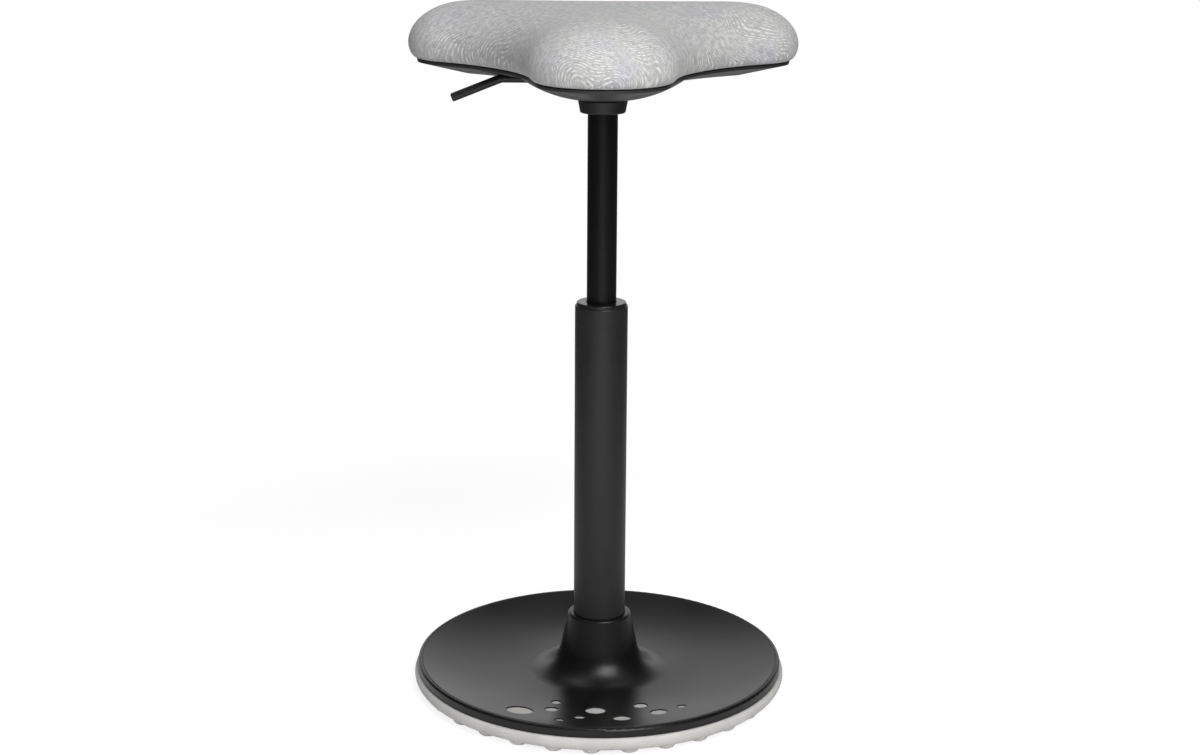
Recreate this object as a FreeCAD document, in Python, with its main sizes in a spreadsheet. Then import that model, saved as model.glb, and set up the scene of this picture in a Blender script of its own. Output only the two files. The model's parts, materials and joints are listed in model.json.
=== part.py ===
import FreeCAD, Part
import math
import os
import re

import Sketcher

# Perch stool: a three-lobed upholstered seat on a gas lift column, over a shallow
# dished foot that stands on a rubber sole with round studs.
# Millimetres, +Z up. The origin is on the floor, on the column's axis, and the
# front of the seat points to -Y. The release lever points to -X.

Vector = FreeCAD.Vector
UP = Vector(0, 0, 1)

# Driving sizes

SIZES = dict(
    # Rubber sole: a thin web, a raised outer ring and a circle of round studs
    sole_radius=181,
    sole_undercut=5.5,
    sole_shoulder=9,
    sole_widest=15,
    sole_ring_top=18.5,
    sole_lip=1.6,
    sole_lip_round=6,
    skirt_gap=0.2,
    web_thickness=2,
    web_opening=45,
    stud_height=5.5,
    stud_radius=10,
    stud_flat=5.5,
    stud_margin=16,
    stud_count=30,
    stud_phase=3.8,
    dot_recess=1.2,
    dot_gap=0.1,
    dot_layout_radius=181,
    # Steel ballast plate
    plate_margin=10,
    plate_thickness=3.3,
    plate_opening=20,
    plate_dot_gap=0.6,
    # Moulded foot: dish, rim and bell
    sole_margin=3.2,
    foot_step=2.8,
    foot_wall=2.5,
    foot_gap=0.2,
    rim_height=27.5,
    rim_land=4,
    rim_round=2.4,
    groove_inset=3.4,
    groove_width=1,
    groove_depth=0.8,
    bell_height=72,
    bell_radius=30.3,
    bell_draft=0.207,
    bell_round=2.2,
    bell_gap=0.3,
    flare_radius=30,
    # Screws that hold the ballast plate to the foot
    foot_screw_count=6,
    foot_screw_phase=30,
    foot_screw_margin=20,
    foot_screw_radius=2.5,
    foot_screw_head=4.6,
    foot_screw_length=10,
    foot_boss_radius=4.5,
    # Outer column and its socket on the ballast plate
    column_radius=25,
    column_bore=23.5,
    column_foot=16,
    column_top=380,
    column_round=1.2,
    column_end=2.5,
    taper_length=42,
    taper_draft=0.026,
    hub_radius=29,
    hub_height=46,
    # Guide bush at the top of the outer column
    bush_length=80,
    bush_lip=3,
    bush_round=1,
    bush_chamfer=0.8,
    slide_fit=0.06,
    # Piston rod and what it carries
    rod_radius=5,
    rod_fit=0.05,
    rod_tail=4.5,
    rod_neck=1,
    clip_radius=8.5,
    clip_thickness=1.2,
    clip_gap=0.3,
    clip_mouth=3.5,
    race_radius=14,
    race_thickness=2,
    race_clearance=0.6,
    bearing_inner=7,
    bearing_outer=13,
    bearing_height=3,
    bearing_fit=0.05,
    stop_radius=12,
    stop_height=15,
    stop_chamfer=2,
    piston_height=15,
    piston_gap=1,
    piston_fit=0.05,
    seal_height=3,
    seal_depth=1.5,
    # Gas cylinder, carried by the seat
    cylinder_radius=14,
    cylinder_bore=12,
    cylinder_length=372,
    cylinder_draft=0.02,
    cylinder_round=0.8,
    taper_seat=29,
    gland_height=25,
    valve_height=32,
    button_radius=3,
    button_head=4.4,
    button_head_height=2.6,
    button_rise=5.25,
    button_round=0.8,
    button_length=23,
    button_fit=0.05,
    # Seat mechanism
    seam_height=603,
    collar_drop=42,
    collar_height=11.5,
    collar_low_radius=20.9,
    collar_high_radius=23.1,
    collar_round=1.5,
    boss_radius=21,
    housing_drop=20,
    housing_back=38,
    housing_front=30,
    housing_half_width=12,
    housing_wall=3.8,
    housing_floor=2.5,
    mount_half_length=60,
    mount_half_width=46,
    mount_thickness=3,
    mount_corner=10,
    bolt_clearance=0.2,
    bolt_half_span=46,
    bolt_half_gap=34,
    bolt_radius=3,
    bolt_head=5,
    bolt_head_height=4,
    insert_radius=4.6,
    # Release lever
    pivot_reach=26,
    pivot_drop=11.5,
    pivot_radius=2.5,
    pivot_fit=0.05,
    cheek_gap=4.4,
    cheek_thickness=2,
    tongue_thickness=2.5,
    tongue_reach=6,
    tongue_gap=0.45,
    channel_near=21.5,
    channel_far=50,
    channel_depth=9,
    lever_radius=4,
    lever_inner_end=31,
    lever_bend_reach=93.5,
    lever_bend_radius=12,
    lever_tip_reach=139,
    lever_angle=21.7,
    lever_round=0.8,
    # Three-lobed seat outline, at the seam between cover and shell
    lobe_count=3,
    lobe_phase=30,
    tip_reach=195,
    tip_radius=58,
    bay_reach=100.5,
    # Seat board
    board_thickness=10,
    board_inset=5,
    # Seat shell
    shell_wall=2.5,
    shell_edge=2.5,
    shell_edge_draft=0.8,
    shell_slope_inset=46,
    shell_slope_depth=11,
    shell_depth=29.5,
    shell_mouth=24.5,
    shell_bowl_radius=80,
    shell_bowl_depth=7,
    shell_bowl_round=110,
    shell_collar_gap=0.5,
    slot_near=62,
    slot_far=112,
    slot_half_width=5.5,
    shell_screw_reach=140,
    shell_screw_radius=2,
    shell_screw_head=3.8,
    shell_screw_head_height=2.2,
    shell_screw_length=19,
    shell_boss_radius=6,
    shell_recess_gap=0.3,
    # Cushion: fabric cover over foam
    cover_thickness=1.5,
    cover_hem=25,
    cover_tuck=1,
    cover_bulge=8,
    cover_bulge_height=15,
    cover_roll=57,
    cover_roll_height=38.5,
    cover_crown=2,
    cover_crown_scale=0.4,
    foam_gap=0.25,
)

# Round holes in the front of the dish, each filled by the sole: place and diameter on a
# sole of the layout's radius
DOTS = [
    (-73.5, -121.9, 25.5),
    (-2.9, -111.2, 19.6),
    (21.7, -135.8, 17.1),
    (56.1, -119.6, 16.8),
    (39.5, -97.7, 13.5),
    (-44.0, -111.2, 13.1),
    (-17.6, -133.2, 10.6),
    (-40.3, -90.1, 9.8),
    (-35.8, -145.1, 9.2),
    (77.8, -105.9, 8.9),
]

document = FreeCAD.newDocument("PerchStool")
sheet = document.addObject("Spreadsheet::Sheet", "Sizes")
row_values = dict(SIZES)
DOT_NAMES = [f"dot_{letter}" for letter in "abcdefghij"]
for name, (across, along, diameter) in zip(DOT_NAMES, DOTS):
    row_values[name + "_across"] = across
    row_values[name + "_along"] = along
    row_values[name + "_diameter"] = diameter
for row, (alias, number) in enumerate(row_values.items(), start=1):
    sheet.set(f"A{row}", alias)
    sheet.set(f"B{row}", str(number))
    sheet.setAlias(f"B{row}", alias)
document.recompute()

# Levels and lengths that follow from the sizes, as expressions on the sheet.
# Pieces of the foot and the column are drawn from the floor up.

FOOT_RADIUS = "(sole_radius - sole_margin)"
FOOT_SKIRT = f"({FOOT_RADIUS} - foot_step)"
SOLE_FOOT = "(sole_radius - sole_undercut)"
STUD_CIRCLE = "(sole_radius - stud_margin)"
PLATE_RADIUS = f"({FOOT_SKIRT} - plate_margin)"
SCREW_CIRCLE = f"({FOOT_SKIRT} - foot_screw_margin)"
DOT_SCALE = "(sole_radius / dot_layout_radius)"
WEB_TOP = "(stud_height + web_thickness)"
PLATE_TOP = f"({WEB_TOP} + plate_thickness)"
DISH_FLOOR = f"({PLATE_TOP} + foot_gap + foot_wall)"
BELL_ANGLE = "atan(bell_draft)"
FLARE_HEIGHT = f"({DISH_FLOOR} + flare_radius)"
FLARE_END = f"({FLARE_HEIGHT} - flare_radius * sin({BELL_ANGLE}))"
FLARE_CENTRE = (f"(bell_radius + bell_draft * (bell_height - {FLARE_END})"
                f" + flare_radius * cos({BELL_ANGLE}))")
RIM_INNER = f"({FOOT_RADIUS} - rim_land)"
DISH_RUN = f"({RIM_INNER} - {FLARE_CENTRE})"
DISH_RISE = f"(rim_height - {DISH_FLOOR})"
DISH_RADIUS = f"(({DISH_RUN}^2 + {DISH_RISE}^2) / (2 * {DISH_RISE}))"
SKIRT_INNER = f"({FOOT_SKIRT} - foot_wall)"
TAPER_TOP = "(column_foot + taper_length)"
BUSH_TOP = "(column_top + bush_lip)"
RACE_LOW = "(column_foot + column_end)"
BEARING_LOW = f"({RACE_LOW} + race_thickness)"
RACE_HIGH = f"({BEARING_LOW} + bearing_fit + bearing_height)"
STOP_LOW = f"({RACE_HIGH} + race_thickness)"
CLIP_TOP = "(column_foot - clip_gap)"
PISTON_LOW = f"({BUSH_TOP} - bush_length + gland_height + piston_gap)"
PISTON_TOP = f"({PISTON_LOW} + piston_height)"

# Pieces of the seat and the cylinder are drawn from the seam between cover and shell,
# and placed at the seam's height.

CYLINDER_TOP = "(taper_seat - collar_drop)"
CYLINDER_LOW = f"({CYLINDER_TOP} - cylinder_length)"
BOARD_LOW = "cover_thickness"
BOARD_TOP = "(cover_thickness + board_thickness)"
MOUNT_LOW = "(cover_thickness - mount_thickness)"
BUTTON_TOP = f"({CYLINDER_TOP} + button_rise)"
TONGUE_LOW = f"({BUTTON_TOP} + tongue_gap)"
SHELL_FLAT = "(shell_edge + shell_slope_depth)"
LOBE = "(tip_reach - tip_radius)"
SETBACK = "(tip_radius - bay_reach)"
BAY_CENTRE = f"(({LOBE}^2 - {SETBACK}^2) / ({LOBE} + 2 * {SETBACK}))"
BAY_RADIUS = f"({BAY_CENTRE} - bay_reach)"
FRONT_LOBE = -90


def link(text):
    """Turn each size's name in an expression into a reference to the sheet."""
    return re.sub(r"[a-z_]+", lambda m: "Sizes." + m.group() if m.group() in row_values else m.group(),
                  str(text))


def value(text):
    """Return the number that an expression has now."""
    return float(sheet.evalExpression(link(text)))


def bind(item, sizes):
    """Tie properties of a feature to expressions."""
    for path, text in sizes.items():
        item.setExpression(path, link(text))


# Sketches

pieces = []


def new_piece(label, height=None):
    """Start a sub-part, placed at a height on the column's axis."""
    body = document.addObject("PartDesign::Body", label)
    body.Label = label
    if height:
        bind(body, {"Placement.Base.z": height})
    pieces.append(body)
    return body


def origin_item(body, role):
    return next(item for item in body.Origin.OriginFeatures if item.Role == role)


def new_sketch(body, name, role="XY_Plane", offset=None, turn=None):
    """Attach a sketch to one of the body's planes, moved along its normal or turned about +Z."""
    sketch = body.newObject("Sketcher::SketchObject", f"{body.Name}_{name}")
    sketch.AttachmentSupport = [(origin_item(body, role), "")]
    sketch.MapMode = "FlatFace"
    if offset:
        bind(sketch, {"AttachmentOffset.Base.z": offset})
    if turn:
        sketch.AttachmentOffset = FreeCAD.Placement(Vector(), FreeCAD.Rotation(Vector(0, 1, 0), 1))
        bind(sketch, {"AttachmentOffset.Rotation.Angle": turn})
    return sketch


def hold(sketch, kind, where, size):
    """Add a constraint whose value is an expression."""
    index = sketch.addConstraint(Sketcher.Constraint(kind, *where, value(size)))
    bind(sketch, {f"Constraints[{index}]": size})


def pin(sketch, geometry, point, across, up):
    """Fix a point of the sketch at two expressions from the origin."""
    hold(sketch, "DistanceX", (-1, 1, geometry, point), across)
    hold(sketch, "DistanceY", (-1, 1, geometry, point), up)


def arc_between(start, end, radius, turn):
    """Return the shorter arc from start to end that turns left (1) or right (-1)."""
    chord = end.sub(start)
    inward = Vector(-chord.y, chord.x, 0).normalize() * turn
    rise = math.sqrt(max(radius ** 2 - (chord.Length / 2) ** 2, 0))
    centre = start + chord * 0.5 + inward * rise
    first, last = (start, end) if turn > 0 else (end, start)
    angles = [math.atan2(point.y - centre.y, point.x - centre.x) for point in (first, last)]
    return Part.ArcOfCircle(Part.Circle(centre, UP, radius), *angles)


def outline(sketch, corners, closed=True):
    """Draw a profile through corners given as pairs of expressions.

    A corner with a radius and a turn of 1 or -1 is left by an arc, the others by lines.
    """
    places = [Vector(value(corner[0]), value(corner[1]), 0) for corner in corners]
    sides = []
    count = len(corners) if closed else len(corners) - 1
    for index in range(count):
        start = places[index]
        end = places[(index + 1) % len(places)]
        if len(corners[index]) == 2:
            geometry = sketch.addGeometry(Part.LineSegment(start, end))
            sides.append((geometry, 1, 2))
            continue
        radius, turn = corners[index][2:]
        geometry = sketch.addGeometry(arc_between(start, end, value(radius), turn))
        sides.append((geometry, 1, 2) if turn > 0 else (geometry, 2, 1))
        hold(sketch, "Radius", (geometry,), radius)
    for index, (geometry, start, end) in enumerate(sides):
        pin(sketch, geometry, start, *corners[index][:2])
        if closed or index + 1 < count:
            follower, follower_start, _ = sides[(index + 1) % count]
            sketch.addConstraint(Sketcher.Constraint("Coincident", geometry, end, follower, follower_start))
        else:
            pin(sketch, geometry, end, *corners[-1][:2])


def rectangle(sketch, left, low, right, high):
    outline(sketch, [(left, low), (right, low), (right, high), (left, high)])


def circle(sketch, across, up, radius):
    place = Vector(value(across), value(up), 0)
    geometry = sketch.addGeometry(Part.Circle(place, UP, value(radius)))
    pin(sketch, geometry, 3, across, up)
    hold(sketch, "Radius", (geometry,), radius)


def trefoil(body, name, height, inset, scale="1"):
    """Sketch the seat's outline: three round tips joined by three hollow bays.

    An inset draws a parallel outline, and a scale draws a smaller one of the same form.
    """
    sketch = new_sketch(body, name, offset=height)
    tip_radius = f"((tip_radius - {inset}) * {scale})"
    bay_radius = f"(({BAY_RADIUS} + {inset}) * {scale})"

    def place(reach, azimuth):
        return f"({reach} * {scale} * cos({azimuth}))", f"({reach} * {scale} * sin({azimuth}))"

    def point(pair):
        return Vector(value(pair[0]), value(pair[1]), 0)

    def bearing(start, end):
        return math.atan2(end.y - start.y, end.x - start.x)

    tips = [place(LOBE, FRONT_LOBE + 120 * lobe) for lobe in range(3)]
    bays = [place(BAY_CENTRE, FRONT_LOBE + 60 + 120 * lobe) for lobe in range(3)]
    arcs = []
    for lobe in range(3):
        tip, next_tip = point(tips[lobe]), point(tips[(lobe + 1) % 3])
        bay, last_bay = point(bays[lobe]), point(bays[lobe - 1])
        tip_circle = Part.Circle(tip, UP, value(tip_radius))
        bay_circle = Part.Circle(bay, UP, value(bay_radius))
        tip_arc = Part.ArcOfCircle(tip_circle, bearing(tip, last_bay), bearing(tip, bay))
        bay_arc = Part.ArcOfCircle(bay_circle, bearing(bay, next_tip), bearing(bay, tip))
        arcs.append((sketch.addGeometry(tip_arc), sketch.addGeometry(bay_arc)))
    for lobe, (tip_arc, bay_arc) in enumerate(arcs):
        next_tip_arc = arcs[(lobe + 1) % 3][0]
        pin(sketch, tip_arc, 3, *tips[lobe])
        hold(sketch, "Radius", (tip_arc,), tip_radius)
        hold(sketch, "Radius", (bay_arc,), bay_radius)
        sketch.addConstraint(Sketcher.Constraint("Tangent", tip_arc, 2, bay_arc, 2))
        sketch.addConstraint(Sketcher.Constraint("Tangent", bay_arc, 1, next_tip_arc, 1))
    return sketch


# Features

def turn_feature(body, name, sketch, axis="V_Axis", cut=False):
    """Revolve a sketch, or cut its revolution away."""
    kind = "PartDesign::Groove" if cut else "PartDesign::Revolution"
    feature = body.newObject(kind, f"{body.Name}_{name}")
    feature.Profile = sketch
    feature.ReferenceAxis = (sketch, [axis])
    feature.Angle = 360
    body.Tip = feature
    return feature


def turned(body, name, corners, cut=False):
    """Revolve a profile about the column's axis, or cut it away."""
    sketch = new_sketch(body, name + "Profile", "XZ_Plane")
    outline(sketch, corners)
    return turn_feature(body, name, sketch, cut=cut)


def spun(body, name, reach, corners, turn=None, cut=False):
    """Revolve a profile about an upright axis of its own, at a reach from the column's axis."""
    sketch = new_sketch(body, name + "Profile", "XZ_Plane", turn=turn)
    outline(sketch, [(f"({reach} + {corner[0]})", *corner[1:]) for corner in corners])
    low, high = (Vector(value(reach), level, 0) for level in (0, 1))
    axis = sketch.addGeometry(Part.LineSegment(low, high), True)
    pin(sketch, axis, 1, reach, "0")
    pin(sketch, axis, 2, reach, "1")
    return turn_feature(body, name, sketch, axis="Axis0", cut=cut)


def ring_of(body, name, feature, count):
    """Repeat a feature evenly about the column's axis."""
    pattern = body.newObject("PartDesign::PolarPattern", f"{body.Name}_{name}")
    pattern.Originals = [feature]
    pattern.Axis = (origin_item(body, "Z_Axis"), [""])
    pattern.Angle = 360
    bind(pattern, {"Occurrences": count})
    body.Tip = pattern
    return pattern


def raised(body, name, sketch, length, middle=False):
    """Pad a sketch along its normal, or evenly to both sides."""
    feature = body.newObject("PartDesign::Pad", f"{body.Name}_{name}")
    feature.Profile = sketch
    feature.Midplane = middle
    bind(feature, {"Length": length})
    body.Tip = feature
    return feature


def sunk(body, name, sketch, length, middle=False):
    """Cut a sketch away along its normal, or evenly to both sides."""
    feature = body.newObject("PartDesign::Pocket", f"{body.Name}_{name}")
    feature.Profile = sketch
    feature.Midplane = middle
    feature.Reversed = not middle
    bind(feature, {"Length": length})
    body.Tip = feature
    return feature


def lofted(body, name, sketches, cut=False):
    """Loft through outlines with straight sides, or cut the loft away."""
    kind = "PartDesign::SubtractiveLoft" if cut else "PartDesign::AdditiveLoft"
    feature = body.newObject(kind, f"{body.Name}_{name}")
    feature.Profile = sketches[0]
    feature.Sections = sketches[1:]
    feature.Ruled = True
    body.Tip = feature
    return feature


def dressed(body, name, kind, radius, wanted):
    """Round or chamfer the edges that a test picks on the body's last feature."""
    document.recompute()
    base = body.Tip
    edges = [f"Edge{index}" for index, edge in enumerate(base.Shape.Edges, start=1) if wanted(edge)]
    feature = body.newObject(f"PartDesign::{kind}", f"{body.Name}_{name}")
    feature.Base = (base, edges)
    bind(feature, {"Radius" if kind == "Fillet" else "Size": radius})
    body.Tip = feature
    return feature


def rim_at(radius, height):
    """Return a test for the round edge of this radius about the axis, at this height."""
    wanted_radius, wanted_height = value(radius), value(height)
    slack = 0.01

    def wanted(edge):
        if not isinstance(edge.Curve, Part.Circle):
            return False
        centre = edge.Curve.Center
        on_axis = math.hypot(centre.x, centre.y) < slack
        return (on_axis and abs(edge.Curve.Radius - wanted_radius) < slack
                and abs(centre.z - wanted_height) < slack)
    return wanted


def ring_corners(inner, outer, low, high):
    return [(inner, low), (outer, low), (outer, high), (inner, high)]


# Foot

def dish_level(reach, drop="0"):
    """Height of the dish's upper face at a reach from the axis, or of a face under it."""
    radius = f"({DISH_RADIUS} + {drop})"
    return f"({DISH_FLOOR} + {DISH_RADIUS} - sqrt({radius}^2 - ({reach} - {FLARE_CENTRE})^2))"


def dot_circles(sketch, gap):
    """Draw the dish's round holes, each wider by a gap all round."""
    for name in DOT_NAMES:
        circle(sketch, f"({name}_across * {DOT_SCALE})", f"({name}_along * {DOT_SCALE})",
               f"({name}_diameter / 2 * {DOT_SCALE} + {gap})")


def foot_sole():
    """Rubber sole: a web with a raised outer ring, round studs, and pads that fill the holes."""
    body = new_piece("foot_sole")
    ring_inner = f"({FOOT_SKIRT} + skirt_gap)"
    turned(body, "Ring", [
        ("web_opening", "stud_height"),
        (SOLE_FOOT, "stud_height", "sole_shoulder", 1),
        ("sole_radius", "sole_widest", "sole_lip_round", 1),
        ("(sole_radius - sole_lip)", "sole_ring_top"),
        (ring_inner, "sole_ring_top"),
        (ring_inner, WEB_TOP),
        ("web_opening", WEB_TOP),
    ])
    flank = "(stud_radius - stud_flat)"
    stud = spun(body, "Stud", STUD_CIRCLE, [
        ("0", "0"),
        ("stud_flat", "0", f"(({flank}^2 + stud_height^2) / (2 * {flank}))", 1),
        ("stud_radius", "stud_height"),
        ("stud_radius", "(sole_widest - sole_lip)"),
        ("0", "(sole_widest - sole_lip)"),
    ], turn="stud_phase")
    ring_of(body, "Studs", stud, "stud_count")
    turned(body, "Seat", ring_corners("web_opening", ring_inner, WEB_TOP, "sole_ring_top"), cut=True)
    pads = new_sketch(body, "Dots", offset=f"({WEB_TOP} - web_thickness / 2)")
    dot_circles(pads, "(0 - dot_gap)")
    raised(body, "Pads", pads, f"(rim_height - {WEB_TOP})")
    turned(body, "PadTops", [
        (FLARE_CENTRE, dish_level(FLARE_CENTRE, "dot_recess"), f"({DISH_RADIUS} + dot_recess)", 1),
        (RIM_INNER, dish_level(RIM_INNER, "dot_recess")),
        (RIM_INNER, "(rim_height + rim_height)"),
        (FLARE_CENTRE, "(rim_height + rim_height)"),
    ], cut=True)


def ballast_plate():
    """Steel disc over the sole's web, with holes for the pads and countersunk screws."""
    body = new_piece("ballast_plate")
    turned(body, "Disc", ring_corners("plate_opening", PLATE_RADIUS, WEB_TOP, PLATE_TOP))
    holes = new_sketch(body, "Dots", offset=WEB_TOP)
    dot_circles(holes, "plate_dot_gap")
    sunk(body, "DotHoles", holes, "plate_thickness")
    seat = spun(body, "Countersink", SCREW_CIRCLE, foot_screw_corners(PLATE_TOP),
                turn="foot_screw_phase", cut=True)
    ring_of(body, "Countersinks", seat, "foot_screw_count")


def foot_screw_corners(top):
    """Half section of a countersunk screw, head down, from the plate's underside to a height."""
    cone_top = f"({WEB_TOP} + foot_screw_head - foot_screw_radius)"
    return [
        ("0", WEB_TOP),
        ("foot_screw_head", WEB_TOP),
        ("foot_screw_radius", cone_top),
        ("foot_screw_radius", top),
        ("0", top),
    ]


def foot_screws():
    """Screws from the ballast plate up into the dish's bosses."""
    body = new_piece("foot_screws")
    screw = spun(body, "Screw", SCREW_CIRCLE,
                 foot_screw_corners(f"({WEB_TOP} + foot_screw_length)"), turn="foot_screw_phase")
    ring_of(body, "Screws", screw, "foot_screw_count")


def foot_dish():
    """Moulded foot in one piece: concave dish, upright rim and the bell round the column."""
    body = new_piece("foot_dish")
    outer_flare = "(flare_radius + foot_wall)"
    lower_radius = f"({DISH_RADIUS} + foot_wall)"
    bell_bore = "(column_radius + bell_gap)"
    lid = "(bell_height - foot_wall)"
    turned(body, "Shell", [
        (bell_bore, "bell_height"),
        (bell_bore, lid),
        (f"(bell_radius + bell_draft * foot_wall - foot_wall / cos({BELL_ANGLE}))", lid),
        (f"({FLARE_CENTRE} - {outer_flare} * cos({BELL_ANGLE}))",
         f"({FLARE_HEIGHT} - {outer_flare} * sin({BELL_ANGLE}))", outer_flare, 1),
        (FLARE_CENTRE, f"({DISH_FLOOR} - foot_wall)", lower_radius, 1),
        (SKIRT_INNER, dish_level(SKIRT_INNER, "foot_wall")),
        (SKIRT_INNER, WEB_TOP),
        (FOOT_SKIRT, WEB_TOP),
        (FOOT_SKIRT, "sole_ring_top"),
        (FOOT_RADIUS, "sole_ring_top"),
        (FOOT_RADIUS, "rim_height"),
        (RIM_INNER, "rim_height", DISH_RADIUS, -1),
        (FLARE_CENTRE, DISH_FLOOR, "flare_radius", -1),
        (f"({FLARE_CENTRE} - flare_radius * cos({BELL_ANGLE}))", FLARE_END),
        ("bell_radius", "bell_height"),
    ])
    dressed(body, "RimRound", "Fillet", "rim_round", rim_at(FOOT_RADIUS, "rim_height"))
    dressed(body, "BellRound", "Fillet", "bell_round", rim_at("bell_radius", "bell_height"))
    groove_outer = f"({FOOT_RADIUS} - groove_inset)"
    turned(body, "Groove", ring_corners(
        f"({groove_outer} - groove_width)", groove_outer,
        f"({dish_level(groove_outer)} - groove_depth)", "(rim_height + rim_round)"), cut=True)
    boss_top = dish_level(SCREW_CIRCLE, "foot_wall / 2")
    boss = spun(body, "Boss", SCREW_CIRCLE,
                ring_corners("0", "foot_boss_radius", PLATE_TOP, boss_top), turn="foot_screw_phase")
    ring_of(body, "Bosses", boss, "foot_screw_count")
    bore = spun(body, "BossBore", SCREW_CIRCLE,
                ring_corners("0", "foot_screw_radius", PLATE_TOP, f"({WEB_TOP} + foot_screw_length)"),
                turn="foot_screw_phase", cut=True)
    ring_of(body, "BossBores", bore, "foot_screw_count")
    holes = new_sketch(body, "Dots")
    dot_circles(holes, "0")
    sunk(body, "DotHoles", holes, "rim_height")


# Column

def column_outer(height):
    """Outer radius of the column's tapered foot at a height."""
    return f"(column_radius - taper_draft * ({TAPER_TOP} - {height}))"


def column_hub():
    """Tapered socket on the ballast plate that holds the column."""
    body = new_piece("column_hub")
    top = f"({PLATE_TOP} + hub_height)"
    turned(body, "Socket", [
        (column_outer(PLATE_TOP), PLATE_TOP),
        ("hub_radius", PLATE_TOP),
        ("hub_radius", top),
        (column_outer(top), top),
    ])


def column_tube():
    """Outer column: a steel tube with a tapered foot and a closed end."""
    body = new_piece("column_tube")
    bore = "(rod_radius + rod_fit)"
    turned(body, "Tube", [
        (bore, "column_foot"),
        (column_outer("column_foot"), "column_foot"),
        ("column_radius", TAPER_TOP),
        ("column_radius", "column_top"),
        ("column_bore", "column_top"),
        ("column_bore", TAPER_TOP),
        (f"(column_bore - taper_draft * ({TAPER_TOP} - {RACE_LOW}))", RACE_LOW),
        (bore, RACE_LOW),
    ])
    dressed(body, "TopRound", "Fillet", "column_round", rim_at("column_radius", "column_top"))


def guide_bush():
    """Plastic bush that guides the cylinder in the top of the column."""
    body = new_piece("guide_bush")
    bore = "(cylinder_radius + slide_fit)"
    turned(body, "Sleeve", ring_corners(bore, "column_bore", f"({BUSH_TOP} - bush_length)", BUSH_TOP))
    dressed(body, "TopRound", "Fillet", "bush_round", rim_at("column_bore", BUSH_TOP))
    dressed(body, "MouthChamfer", "Chamfer", "bush_chamfer", rim_at(bore, BUSH_TOP))


# Piston rod and swivel bearing

def bearing_race_lower():
    body = new_piece("bearing_race_lower")
    turned(body, "Race", ring_corners("(rod_radius + race_clearance)", "race_radius", RACE_LOW, BEARING_LOW))


def thrust_bearing():
    """Caged thrust bearing between the races."""
    body = new_piece("thrust_bearing")
    turned(body, "Cage", ring_corners("bearing_inner", "bearing_outer", f"({BEARING_LOW} + bearing_fit)",
                                      RACE_HIGH))


def bearing_race_upper():
    body = new_piece("bearing_race_upper")
    turned(body, "Race", ring_corners("rod_radius", "race_radius", RACE_HIGH, STOP_LOW))


def bump_stop():
    """Rubber stop that the cylinder meets at its lowest."""
    body = new_piece("bump_stop")
    top = f"({STOP_LOW} + stop_height)"
    turned(body, "Stop", ring_corners("rod_radius", "stop_radius", STOP_LOW, top))
    dressed(body, "Chamfer", "Chamfer", "stop_chamfer", rim_at("stop_radius", top))


def piston_rod():
    """Rod from the clip under the column up to the piston."""
    body = new_piece("piston_rod")
    low = "(column_foot - rod_tail)"
    neck = "(rod_radius - rod_neck)"
    neck_low = f"({CLIP_TOP} - clip_thickness)"
    turned(body, "Rod", [
        ("0", low),
        ("rod_radius", low),
        ("rod_radius", neck_low),
        (neck, neck_low),
        (neck, CLIP_TOP),
        ("rod_radius", CLIP_TOP),
        ("rod_radius", PISTON_TOP),
        ("0", PISTON_TOP),
    ])


def rod_clip():
    """Spring clip in the rod's neck, open on one side."""
    body = new_piece("rod_clip")
    low = f"({CLIP_TOP} - clip_thickness)"
    turned(body, "Clip", ring_corners("(rod_radius - rod_neck)", "clip_radius", low, CLIP_TOP))
    mouth = new_sketch(body, "MouthOutline", offset=low)
    rectangle(mouth, "0", "(0 - clip_mouth)", "(2 * clip_radius)", "clip_mouth")
    sunk(body, "Mouth", mouth, "clip_thickness")


def piston():
    """Piston on the rod, with a groove for its seal."""
    body = new_piece("piston")
    outer = "(cylinder_bore - piston_fit)"
    turned(body, "Block", ring_corners("rod_radius", outer, PISTON_LOW, PISTON_TOP))
    turned(body, "SealGroove", ring_corners("(cylinder_bore - seal_depth)", outer, *seal_levels()), cut=True)


def seal_levels():
    middle = f"({PISTON_LOW} + piston_height / 2)"
    return f"({middle} - seal_height / 2)", f"({middle} + seal_height / 2)"


def piston_seal():
    body = new_piece("piston_seal")
    turned(body, "Seal", ring_corners("(cylinder_bore - seal_depth)", "(cylinder_bore - piston_fit)",
                                      *seal_levels()))


# Gas cylinder, which rises and falls with the seat

def cylinder_outer(height):
    """Outer radius of the cylinder's tapered top at a height."""
    return f"(cylinder_radius - cylinder_draft * ({height} + collar_drop))"


def gas_cylinder():
    body = new_piece("gas_cylinder", "seam_height")
    turned(body, "Tube", [
        ("cylinder_bore", CYLINDER_LOW),
        ("cylinder_radius", CYLINDER_LOW),
        ("cylinder_radius", "(0 - collar_drop)"),
        (cylinder_outer(CYLINDER_TOP), CYLINDER_TOP),
        ("cylinder_bore", CYLINDER_TOP),
    ])
    dressed(body, "LowRound", "Fillet", "cylinder_round", rim_at("cylinder_radius", CYLINDER_LOW))


def cylinder_gland():
    """Rod guide and seal in the cylinder's lower end."""
    body = new_piece("cylinder_gland", "seam_height")
    turned(body, "Gland", ring_corners("(rod_radius + rod_fit)", "cylinder_bore", CYLINDER_LOW,
                                       f"({CYLINDER_LOW} + gland_height)"))


def valve_block():
    """Valve block in the cylinder's top, bored for the release button."""
    body = new_piece("valve_block", "seam_height")
    turned(body, "Block", ring_corners("(button_radius + button_fit)", "cylinder_bore",
                                       f"({CYLINDER_TOP} - valve_height)", CYLINDER_TOP))


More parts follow.
